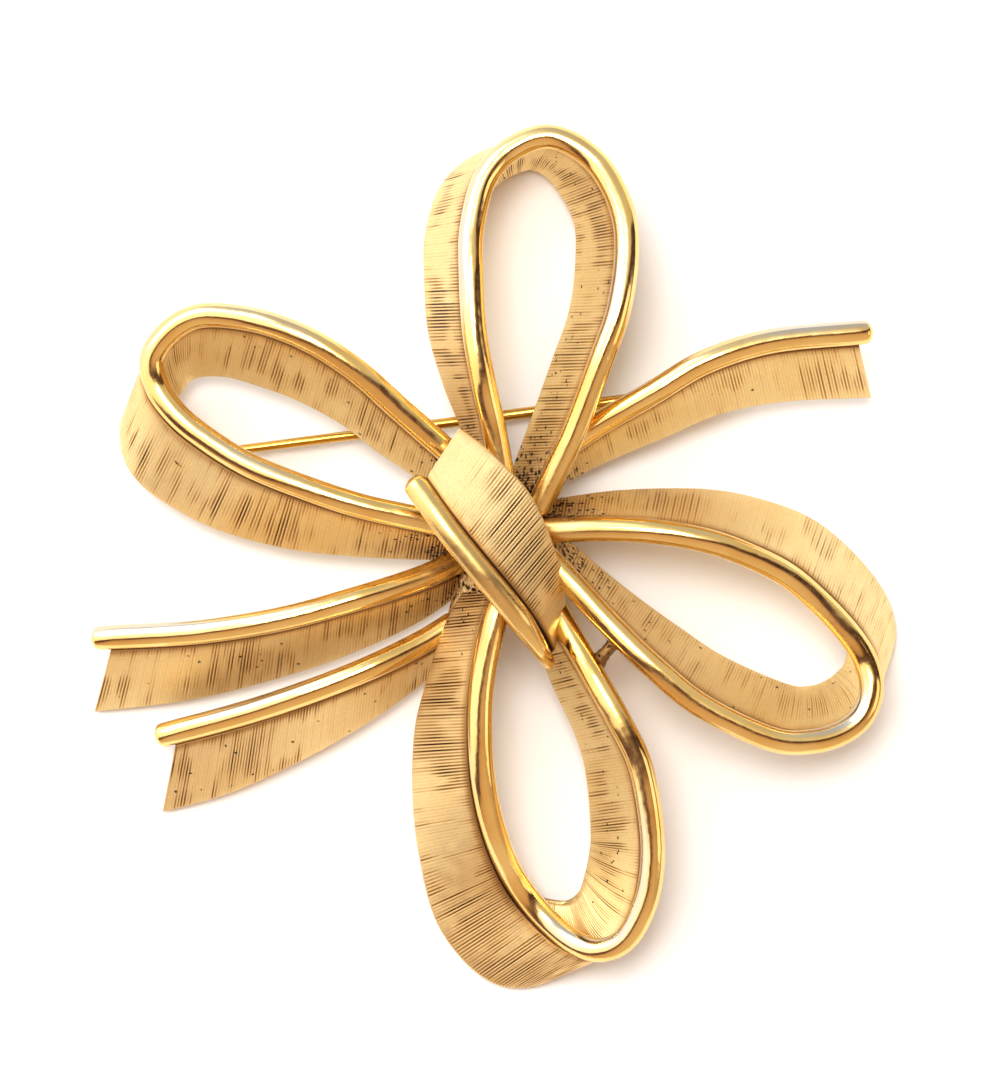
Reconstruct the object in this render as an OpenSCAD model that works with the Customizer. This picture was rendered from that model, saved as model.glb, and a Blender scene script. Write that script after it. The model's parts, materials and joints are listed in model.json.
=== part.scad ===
// A cast ribbon bow brooch: four loops, three tails and a knot of ribbon on edge,
// each with a round polished bead along its front rim, and a hinged pin behind.
// +Z is the front of the brooch, +Y the top loop's way. It lies on its back, all in mm.

/* [Bow] */
// width of the photographed bow, which sets every place in the tables
bow_size = 64; // [60:0.5:68]
// height of the back rims over the table at their highest
rim_rise = 4.0; // [3.6:0.1:4.6]

/* [Ribbon] */
// full width of a ribbon from its bead's centre to its back rim
ribbon_width = 7.7; // [7.5:0.1:8.2]
// thickness of the ribbon's metal
band_thick = 1.1; // [0.9:0.05:1.3]
// diameter of the polished bead along the front rim
bead_dia = 2.0; // [1.8:0.05:2.2]

/* [Pin] */
// diameter of the pin's wire
pin_dia = 1.0; // [0.9:0.05:1.1]
// height of the pin's centre over the table
pin_height = 1.7; // [1.6:0.05:1.9]
// length of the pin past its catch
pin_overrun = 2.2; // [1.5:0.1:3.0]
// diameter of the rivet that the pin turns on
rivet_dia = 0.8; // [0.7:0.05:0.9]
// space between the two ears of the hinge
ear_gap = 1.3; // [1.2:0.05:1.5]
// thickness of one ear
ear_thick = 0.7; // [0.6:0.05:0.9]
// diameter of the catch's wire
catch_wire = 0.8; // [0.7:0.05:0.9]

/* [Hidden] */

// one hundredth of the bow's size, the unit of every table
unit = bow_size / 100;
gold = [0.86, 0.68, 0.36];
steel = [0.82, 0.66, 0.38];

// running clearances of the hinge
ear_clear = 0.02;
eye_clear = 0.05;
eye_outer = 1.15;
ear_outer = 1.4;

// Each table has a row per section of a ribbon, from its root and round to its other end.
// along x, up y: where the bead's centre is, in units from the middle of the knot
// lean_x, lean_y: how far the back rim stands off from the bead, seen from the front
// fill_x, fill_y: how much further the inner face's foot reaches where the tip is filled
// lift: height of the back rim as a share of rim_rise
// width: share of ribbon_width there, less where the ribbons gather under the knot
function along(row) = row[0];
function up(row) = row[1];
function lean_x(row) = row[2];
function lean_y(row) = row[3];
function fill_x(row) = row[4];
function fill_y(row) = row[5];
function lift(row) = row[6];
function width_share(row) = row[7];

top_loop = [
  [ 0.4,  7.4, -2.5,  0.0, 0.0,  0.0, 0.70, 0.62],
  [-0.8, 14.1, -3.4, -0.2, 0.0,  0.0, 0.70, 0.72],
  [-2.1, 19.8, -4.5,  0.1, 0.0,  0.0, 0.70, 0.86],
  [-3.2, 26.2, -5.3,  0.3, 0.0,  0.0, 0.60, 0.96],
  [-3.6, 33.1, -5.4,  0.3, 0.0,  0.0, 0.45, 1.00],
  [-3.5, 39.0, -5.4, -0.2, 1.5,  0.0, 0.25, 1.00],
  [-1.9, 45.2, -5.2, -0.7, 4.4, -1.2, 0.10, 0.98],
  [ 1.5, 49.0, -4.8, -0.9, 4.0, -1.9, 0.00, 0.96],
  [ 6.5, 50.5, -4.6, -1.0, 2.1, -2.1, 0.00, 0.94],
  [11.8, 47.5, -4.8, -1.2, 0.0, -0.5, 0.05, 0.96],
  [15.0, 41.9, -5.2, -0.9, 0.0,  0.0, 0.20, 1.00],
  [15.8, 36.2, -5.6,  0.0, 0.0,  0.0, 0.40, 1.00],
  [14.8, 28.8, -5.4,  0.3, 0.0,  0.0, 0.60, 0.98],
  [12.5, 22.2, -5.4,  0.2, 0.0,  0.0, 0.70, 0.92],
  [ 9.1, 13.1, -5.4,  0.0, 0.0,  0.0, 0.70, 0.82],
  [ 4.8,  4.2, -4.6, -0.4, 0.0,  0.0, 0.70, 0.66],
];

left_loop = [
  [ -6.0, 10.6, -1.1, -4.3, 0.0,  0.0, 0.70, 0.68],
  [-12.6, 16.4, -2.0, -5.2, 0.0,  0.0, 0.70, 0.82],
  [-17.5, 20.8, -2.1, -5.8, 0.0,  0.0, 0.70, 0.92],
  [-22.5, 24.2, -2.4, -6.3, 0.0,  0.0, 0.68, 0.98],
  [-27.5, 26.5, -2.7, -6.6, 0.0,  0.0, 0.60, 1.00],
  [-32.5, 27.8, -2.9, -6.7, 0.6,  0.0, 0.45, 1.00],
  [-37.5, 28.0, -3.0, -7.0, 1.8, -0.2, 0.35, 1.00],
  [-41.2, 26.2, -3.2, -7.3, 3.9,  0.0, 0.30, 1.00],
  [-43.6, 22.9, -3.7, -7.8, 5.2,  0.8, 0.30, 1.00],
  [-43.1, 19.5, -4.4, -8.1, 4.8,  2.0, 0.35, 1.00],
  [-41.2, 16.5, -4.8, -8.3, 3.4,  2.2, 0.45, 1.00],
  [-37.9, 13.5, -4.7, -8.2, 1.5,  1.8, 0.50, 1.00],
  [-31.8,  9.6, -4.1, -7.8, 0.0,  0.0, 0.55, 1.00],
  [-24.5,  6.6, -2.4, -7.2, 0.0,  0.0, 0.60, 0.98],
  [-17.2,  4.2, -1.5, -5.7, 0.0,  0.0, 0.65, 0.88],
  [ -8.6,  2.3, -0.9, -4.2, 0.0,  0.0, 0.70, 0.72],
  [ -3.6,  1.2, -0.4, -3.0, 0.0,  0.0, 0.68, 0.60],
];

right_loop = [
  [ 5.4,   1.1, 0.6, 3.3,  0.0,  0.0, 0.70, 0.60],
  [12.5,   1.4, 0.9, 4.1,  0.0,  0.0, 0.70, 0.76],
  [18.8,   1.1, 1.3, 4.8,  0.0,  0.0, 0.65, 0.90],
  [25.0,   0.1, 1.8, 5.7,  0.0,  0.0, 0.60, 0.98],
  [30.0,  -1.5, 2.4, 6.3,  0.0,  0.0, 0.50, 1.00],
  [35.6,  -4.2, 2.9, 6.9,  0.0,  0.0, 0.35, 1.00],
  [39.8,  -7.6, 3.2, 7.1, -1.0, -1.5, 0.20, 1.00],
  [43.5, -11.5, 3.3, 6.9, -3.2, -3.8, 0.10, 1.00],
  [45.8, -15.0, 3.2, 6.7, -4.8, -4.0, 0.00, 1.00],
  [46.6, -18.5, 3.0, 6.5, -5.6, -3.2, 0.00, 1.00],
  [45.6, -21.8, 2.9, 6.3, -5.5, -1.2, 0.00, 1.00],
  [43.1, -24.0, 3.0, 6.1, -4.5,  0.0, 0.05, 1.00],
  [39.0, -25.2, 3.0, 5.7, -2.5,  0.7, 0.20, 0.98],
  [33.8, -24.8, 2.9, 5.6, -0.5,  0.5, 0.35, 0.98],
  [25.0, -20.6, 3.2, 5.3,  0.0,  0.0, 0.50, 0.96],
  [18.8, -15.5, 3.1, 4.3,  0.0,  0.0, 0.60, 0.90],
  [14.0, -10.8, 2.6, 3.4,  0.0,  0.0, 0.65, 0.78],
  [ 9.4,  -5.8, 1.6, 2.9,  0.0,  0.0, 0.70, 0.66],
  [ 6.0,  -2.2, 1.2, 2.6,  0.0,  0.0, 0.70, 0.56],
];

bottom_loop = [
  [ 1.0,  -6.5, -5.2, -0.4, 0.0,  0.0, 1.20, 0.66],
  [-0.7, -10.2, -5.8, -0.7, 0.0,  0.0, 1.15, 0.74],
  [-2.1, -16.9, -6.6, -0.7, 0.0,  0.0, 0.95, 0.85],
  [-2.5, -23.1, -7.8, -0.6, 0.0,  0.0, 0.75, 0.95],
  [-2.1, -30.0, -8.6, -1.4, 0.0,  0.0, 0.55, 1.00],
  [-0.8, -36.2, -9.4, -2.6, 1.0,  0.5, 0.35, 1.00],
  [ 1.5, -42.1, -9.9, -5.3, 5.6,  3.2, 0.18, 1.00],
  [ 4.8, -46.8, -9.3, -6.6, 7.8,  8.2, 0.06, 1.00],
  [ 8.8, -50.4, -8.7, -6.2, 6.2, 10.8, 0.00, 1.00],
  [12.5, -51.6, -8.0, -4.8, 3.8, 10.6, 0.00, 1.00],
  [15.8, -50.0, -7.6, -2.8, 1.6,  8.2, 0.05, 1.00],
  [18.0, -46.0, -7.1, -1.7, -0.1, 5.2, 0.15, 1.00],
  [19.0, -41.2, -7.0, -1.2, -0.4, 2.7, 0.25, 1.00],
  [18.9, -35.6, -6.9, -1.2, 0.0,  0.0, 0.35, 1.00],
  [17.5, -28.1, -6.1, -1.3, 0.0,  0.0, 0.45, 0.98],
  [15.0, -22.8, -5.0, -1.5, 0.0,  0.0, 0.50, 0.93],
  [12.0, -17.5, -4.5, -1.4, 0.0,  0.0, 0.55, 0.84],
  [ 9.3, -12.8, -3.9, -1.1, 0.0,  0.0, 0.50, 0.70],
  [ 6.7,  -8.2, -3.3, -0.9, 0.0,  0.0, 0.40, 0.55],
];

upper_tail = [
  [ -4.4,  -2.2, -0.4, -3.6, 0, 0, 0.25, 0.50],
  [-10.0,  -4.8, -0.7, -5.2, 0, 0, 0.35, 0.66],
  [-18.8,  -7.6, -1.0, -6.6, 0, 0, 0.40, 0.86],
  [-27.5,  -9.9, -1.3, -7.3, 0, 0, 0.30, 0.95],
  [-37.5, -11.5, -2.0, -8.4, 0, 0, 0.15, 1.00],
  [-48.5, -12.2, -3.0, -9.3, 0, 0, 0.00, 1.00],
];

lower_tail = [
  [ -6.2, -10.7, -0.5,  -4.2, 0, 0, 0.25, 0.50],
  [-10.0, -13.0, -0.7,  -5.2, 0, 0, 0.30, 0.60],
  [-16.2, -16.0, -0.9,  -6.8, 0, 0, 0.35, 0.78],
  [-23.8, -19.0, -1.4,  -8.5, 0, 0, 0.28, 0.93],
  [-32.5, -21.9, -1.8,  -9.9, 0, 0, 0.14, 1.00],
  [-40.6, -24.1, -2.3, -10.2, 0, 0, 0.00, 1.00],
];

right_tail = [
  [ 7.5, 11.2, 0.9, -3.2, 0, 0, 0.45, 0.58],
  [12.5, 14.6, 1.2, -4.0, 0, 0, 0.55, 0.70],
  [18.8, 18.2, 1.6, -4.8, 0, 0, 0.68, 0.84],
  [25.6, 22.2, 2.0, -5.8, 0, 0, 0.70, 0.92],
  [33.8, 24.8, 2.2, -6.8, 0, 0, 0.60, 0.96],
  [44.5, 25.9, 2.4, -7.4, 0, 0, 0.50, 0.98],
];

knot_ribbon = [
  [-10.0,   6.2, 4.9, 7.6, 0, 0, 2.10, 0.82],
  [ -7.9,   3.2, 5.7, 8.4, 0, 0, 2.22, 0.91],
  [ -5.9,   0.5, 6.5, 8.5, 0, 0, 2.30, 0.95],
  [ -3.8,  -2.1, 6.9, 8.4, 0, 0, 2.31, 0.96],
  [ -1.6,  -4.8, 6.6, 7.7, 0, 0, 2.24, 0.91],
  [  0.7,  -7.6, 5.7, 6.8, 0, 0, 2.05, 0.83],
  [  2.7, -10.2, 4.7, 6.0, 0, 0, 1.80, 0.76],
  [  4.4, -12.7, 3.2, 4.9, 0, 0, 1.46, 0.66],
  [  5.8, -14.9, 1.0, 3.8, 0, 0, 1.05, 0.57],
];

// steps between two rows of a loop, a tail and the knot
loop_steps = 3;
tail_steps = 4;
knot_steps = 4;

// the smooth curve through a table's rows, read at a place counted in rows
function blend4(a, b, c, d, t) =
  0.5 * (2 * b + (c - a) * t + (2 * a - 5 * b + 4 * c - d) * t * t
    + (3 * b - a - 3 * c + d) * t * t * t);
function clamp_row(rows, i) = rows[max(0, min(len(rows) - 1, i))];
function row_at(rows, u) =
  let (i = min(len(rows) - 2, floor(u)))
  blend4(clamp_row(rows, i - 1), clamp_row(rows, i), clamp_row(rows, i + 1),
    clamp_row(rows, i + 2), u - i);

function unit_of(v) = v / norm(v);
function mix(a, b, t) = a + (b - a) * t;

function lean_of(row) = unit * [lean_x(row), lean_y(row), 0];
function drop_of(row) =
  sqrt(max(1, pow(ribbon_width * width_share(row), 2) - pow(norm(lean_of(row)), 2)));
function back_z(row) = lift(row) * rim_rise + band_thick / 2;
function bead_at(row) = [unit * along(row), unit * up(row), back_z(row) + drop_of(row)];
function back_at(row) = bead_at(row) + lean_of(row) - [0, 0, drop_of(row)];

// The section of a ribbon: the bead's arc, then the band down to its chamfered back.
// side is 1 where the loop turns anticlockwise seen from the front, else -1.
arc_steps = 8;
corner = band_thick * 0.22;
fill_raise = 0.3;
fill_full = 8;

// The knot's bead thins from this row to its lower end, where it runs out on the bottom loop.
thin_row = 6;
thin_bead = 0.58;
function bead_radius(rows, u) =
  let (last = len(rows) - 1)
  bead_dia / 2 * (rows == knot_ribbon && u > thin_row ? mix(1, thin_bead, (u - thin_row) / (last - thin_row)) : 1);

function section(rows, u, side) =
  let (
    row = row_at(rows, u),
    ahead = row_at(rows, min(len(rows) - 1, u + 0.05)),
    behind = row_at(rows, max(0, u - 0.05)),
    bead = bead_at(row),
    back = back_at(row),
    way = unit_of(bead_at(ahead) - bead_at(behind)),
    down = unit_of(back - bead),
    inward = side * unit_of(cross(way, down)),
    under = unit_of(down - (down * way) * way),
    half = band_thick / 2,
    radius = bead_radius(rows, u),
    start = asin(half / radius),
    reach = norm(back - bead),
    fill = unit * [fill_x(row), fill_y(row), 0],
    amount = min(1, norm(fill) / (unit * fill_full)),
    raise = [0, 0, fill_raise * amount * (bead[2] - back[2])],
    foot = back + inward * half * (1 - amount) + fill + raise
  )
  concat(
    [for (k = [0 : arc_steps])
      let (a = start + (360 - 2 * start) * k / arc_steps)
      bead + radius * (cos(a) * under + sin(a) * inward)],
    [
      bead + down * (reach - corner) - inward * half,
      back - inward * (half - corner),
      foot - inward * corner,
      foot - down * corner,
    ]
  );

// a closed skin over rings of equal length, with its two ends capped
module skin(rings, turned) {
  count = len(rings[0]);
  last = len(rings) - 1;
  points = [for (ring = rings) for (p = ring) p];
  sides = [for (i = [0 : last - 1]) for (k = [0 : count - 1])
    let (
      a = i * count + k,
      b = i * count + (k + 1) % count,
      c = a + count,
      d = b + count
    )
    each (norm(points[a] - points[d]) < norm(points[b] - points[c])
      ? (turned ? [[a, b, d], [a, d, c]] : [[a, d, b], [a, c, d]])
      : (turned ? [[a, b, c], [b, d, c]] : [[a, c, b], [b, c, d]]))];
  first_cap = [for (k = [0 : count - 1]) k];
  last_cap = [for (k = [0 : count - 1]) last * count + count - 1 - k];
  caps = turned
    ? [[for (k = [0 : count - 1]) count - 1 - k], [for (k = [0 : count - 1]) last * count + k]]
    : [first_cap, last_cap];
  polyhedron(points, concat(sides, caps), convexity = 8);
}

module ribbon(rows, steps, side) {
  total = (len(rows) - 1) * steps;
  skin([for (i = [0 : total]) section(rows, i / steps, side)], side < 0);
}

// the bead alone runs on past the band at a tail's end and closes round
module bead_end(rows, u, run) {
  tip = bead_at(row_at(rows, u));
  from = bead_at(row_at(rows, u - sign(run) * 0.2));
  hull() {
    translate(tip) sphere(r = bead_radius(rows, u), $fn = 10);
    translate(tip + unit_of(tip - from) * abs(run) * unit) sphere(r = bead_radius(rows, u), $fn = 10);
  }
}

// One solder fillet at a ribbon's root, run into the lump under the knot.
core_at = [0.3 * unit, 0.2 * unit, 0.6 * ribbon_width];
core_radius = 2.6;
module root_fillet(rows, u, size) {
  row = row_at(rows, u);
  root = mix(bead_at(row), back_at(row), 0.55);
  hull() {
    translate(root) sphere(r = size, $fn = 8);
    translate(core_at) sphere(r = core_radius, $fn = 10);
  }
}

// The casting: every ribbon, run together under the knot as one piece of metal.
module bow() color(gold) {
  ribbon(top_loop, loop_steps, -1);
  ribbon(left_loop, loop_steps, 1);
  ribbon(right_loop, loop_steps, -1);
  ribbon(bottom_loop, loop_steps, 1);
  ribbon(upper_tail, tail_steps, 1);
  ribbon(lower_tail, tail_steps, 1);
  ribbon(right_tail, tail_steps, -1);
  ribbon(knot_ribbon, knot_steps, 1);

  bead_end(upper_tail, 5, tail_bead_run);
  bead_end(lower_tail, 5, tail_bead_run);
  bead_end(right_tail, 5, right_bead_run);
  bead_end(knot_ribbon, 0, -knot_bead_run);
  bead_end(knot_ribbon, 8, knot_bead_run);

  root_fillet(top_loop, 0.3, 0.9);
  root_fillet(top_loop, 14.8, 1.1);
  root_fillet(left_loop, 0.1, 0.8);
  root_fillet(left_loop, 15.4, 0.6);
  root_fillet(right_loop, 0.1, 0.9);
  root_fillet(right_loop, 17.9, 0.8);
  root_fillet(bottom_loop, 0.2, 0.5);
  root_fillet(bottom_loop, 17.9, 0.8);
  root_fillet(upper_tail, 0.2, 0.7);
  root_fillet(lower_tail, 0.1, 0.8);
  root_fillet(right_tail, 0.1, 0.8);
  knot_post();
  bridge();
  hinge_bracket();
  catch();
}

tail_bead_run = 1.9;
right_bead_run = 1.0;
knot_bead_run = 0.6;

// the lump that carries the knot over the crossing ribbons
post_at = [1.2 * unit, 0.4 * unit, 1.01 * ribbon_width];
post_radius = 1.7;
module knot_post() {
  hull() {
    translate(core_at) sphere(r = core_radius, $fn = 10);
    translate(post_at) sphere(r = post_radius, $fn = 10);
  }
}

// the little bar cast between the bottom loop and the right loop
bridge_height = 7.6;
bridge_dia = 1.1;
bridge_ends = unit * [[11.7, -15.8], [15.3, -11.7]];
module bridge() {
  hull()
    for (end = bridge_ends)
      translate([end[0], end[1], bridge_height]) sphere(d = bridge_dia, $fn = 8);
}

// Where the pin is carried: a place on the right tail's back and one on the left loop's.
hinge_row = 2.75;
hinge_share = 0.43;
catch_row = 11;
catch_share = 0.35;
function on_band(rows, u, share) =
  let (row = row_at(rows, u))
  mix(bead_at(row), back_at(row), share);
hinge_band = on_band(right_tail, hinge_row, hinge_share);
catch_band = on_band(left_loop, catch_row, catch_share);
hinge_spot = [hinge_band[0], hinge_band[1], pin_height];
catch_spot = [catch_band[0], catch_band[1], pin_height];
pin_reach = norm(catch_spot - hinge_spot);
pin_turn = atan2(catch_spot[1] - hinge_spot[1], catch_spot[0] - hinge_spot[0]);

// from the hinge's own frame: +X along the pin to its point, +Z to the brooch's front
module at_hinge() translate(hinge_spot) rotate([0, 0, pin_turn]) children();
module at_catch() translate(catch_spot) rotate([0, 0, pin_turn]) children();

web_gap = 0.3;
web_thick = 0.8;
web_wide = 1.8;
foot_wide = 1.6;
function hinge_foot(s) =
  let (spread = s * (ear_gap + ear_thick) / 2 / norm(lean_of(row_at(right_tail, hinge_row))))
  on_band(right_tail, hinge_row, hinge_share + spread)[2] - pin_height;

// A bracket of two ears on one web, its posts soldered to the tail's back.
module hinge_bracket() color(gold) at_hinge() difference() {
  union() {
    for (s = [-1, 1])
      translate([0, s * (ear_gap + ear_thick) / 2, 0]) rotate([90, 0, 0])
        linear_extrude(ear_thick, center = true) {
          circle(r = ear_outer, $fn = 24);
          polygon([[-ear_outer, 0], [ear_outer, 0],
            [foot_wide / 2, hinge_foot(s)], [-foot_wide / 2, hinge_foot(s)]]);
        }
    translate([0, 0, eye_outer + web_gap + web_thick / 2])
      cube([web_wide, ear_gap + ear_thick, web_thick], center = true);
  }
  rotate([90, 0, 0])
    cylinder(d = rivet_dia + 2 * ear_clear, h = 2 * (ear_gap + 2 * ear_thick), center = true, $fn = 32);
}

rivet_head = 0.15;
module hinge_rivet() color(steel) at_hinge() rotate([90, 0, 0])
  cylinder(d = rivet_dia, h = ear_gap + 2 * ear_thick + 2 * rivet_head, center = true, $fn = 48);

// The pin: an eye on the rivet, a wire that thins away from it, and a long point.
eye_side = 0.07;
point_long = 3.2;
point_tip = 0.12;
thin_share = 0.72;
module pin_stem() color(steel) at_hinge() {
  shaft_start = eye_outer * 0.8;
  shaft_end = pin_reach + pin_overrun - point_long;
  difference() {
    union() {
      rotate([90, 0, 0]) cylinder(r = eye_outer, h = ear_gap - 2 * eye_side, center = true, $fn = 48);
      translate([shaft_start, 0, 0]) rotate([0, 90, 0])
        cylinder(d1 = pin_dia, d2 = pin_dia * thin_share, h = shaft_end - shaft_start, $fn = 24);
      translate([shaft_end, 0, 0]) rotate([0, 90, 0])
        cylinder(d1 = pin_dia * thin_share, d2 = point_tip, h = point_long, $fn = 24);
    }
    rotate([90, 0, 0])
      cylinder(d = rivet_dia + 2 * eye_clear, h = 2 * ear_gap, center = true, $fn = 48);
  }
}

// A C of wire on a post that is soldered to the left loop's back, its mouth to the table.
catch_radius = 1.1;
catch_mouth = 120;
catch_post = 1.3;
module catch() color(gold) at_catch() {
  rotate([0, -90, 0]) rotate([0, 0, 180 + catch_mouth / 2])
    rotate_extrude(angle = 360 - catch_mouth, $fn = 28)
      translate([catch_radius, 0]) circle(d = catch_wire, $fn = 10);
  translate([0, 0, catch_radius])
    cylinder(d = catch_post, h = catch_band[2] - pin_height - catch_radius, $fn = 12);
}

// The tables start at the knot's middle; the part's origin is under the middle of its box.
box_middle = [-0.79 * unit, -2.47 * unit, 0.19];
translate(-box_middle) {
  bow();
  hinge_rivet();
  pin_stem();
}
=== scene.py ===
# %% [markdown]
# # A cast bow brooch
# The real brooch is one casting in gold plate: ribbons stood on edge, each with a round polished bead along
# its front rim, and a plain pin hinged behind. The model that comes with it holds every solid in its right
# place, so we load that first and dress it. All lengths here are millimetres until a mesh is made, because
# that is how a jeweller thinks of them; Blender gets them in metres.

# %% Load the frame
import json
import math
import bpy
import bmesh
import numpy as np
from mathutils import Matrix, Vector


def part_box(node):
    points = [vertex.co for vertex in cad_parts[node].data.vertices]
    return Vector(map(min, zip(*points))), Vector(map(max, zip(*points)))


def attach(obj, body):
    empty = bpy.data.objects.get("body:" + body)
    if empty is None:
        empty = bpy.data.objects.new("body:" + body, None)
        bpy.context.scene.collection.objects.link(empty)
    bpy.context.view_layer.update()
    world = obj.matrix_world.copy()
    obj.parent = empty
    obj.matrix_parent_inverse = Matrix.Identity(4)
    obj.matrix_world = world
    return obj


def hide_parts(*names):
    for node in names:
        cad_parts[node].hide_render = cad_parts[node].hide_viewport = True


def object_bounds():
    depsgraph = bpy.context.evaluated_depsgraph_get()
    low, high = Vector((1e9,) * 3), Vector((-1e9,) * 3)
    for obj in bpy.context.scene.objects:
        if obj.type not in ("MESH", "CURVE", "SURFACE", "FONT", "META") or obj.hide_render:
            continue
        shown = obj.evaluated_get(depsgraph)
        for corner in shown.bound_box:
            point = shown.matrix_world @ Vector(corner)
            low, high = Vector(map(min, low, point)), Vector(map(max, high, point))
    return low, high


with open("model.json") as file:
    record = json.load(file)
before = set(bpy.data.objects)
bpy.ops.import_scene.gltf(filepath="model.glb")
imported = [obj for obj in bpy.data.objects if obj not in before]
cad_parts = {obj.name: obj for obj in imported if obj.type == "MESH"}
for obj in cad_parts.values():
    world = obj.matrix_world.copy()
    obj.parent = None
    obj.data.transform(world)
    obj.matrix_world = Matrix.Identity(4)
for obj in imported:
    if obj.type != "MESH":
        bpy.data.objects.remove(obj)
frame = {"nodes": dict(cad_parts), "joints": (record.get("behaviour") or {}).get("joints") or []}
CAD_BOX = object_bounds()
MM = 0.001
print("nodes:", sorted(frame["nodes"]))
print("box in mm:", [[round(part / MM, 2) for part in corner] for corner in CAD_BOX])

# %% [markdown]
# ## The ribbons' paths
# A ribbon on edge is two curves: the line of its bead, and the line of its back rim. Tracing both at
# a dozen or so places, and letting a smooth curve join them, keeps the bow easy to change. Each row says
# where the bead is, how far the back rim leans away from it, how much the tip is filled, how high the back
# rim stands, and how wide the ribbon is there.

# %% Sizes and the rows of every ribbon
BOW_SIZE = 64.0
RIM_RISE = 4.0
RIBBON_WIDTH = 7.7
BAND_THICK = 1.1
BEAD_RADIUS = 1.0
UNIT = BOW_SIZE / 100
BOX_MIDDLE = np.array([-0.79 * UNIT, -2.47 * UNIT, 0.19])

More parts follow.
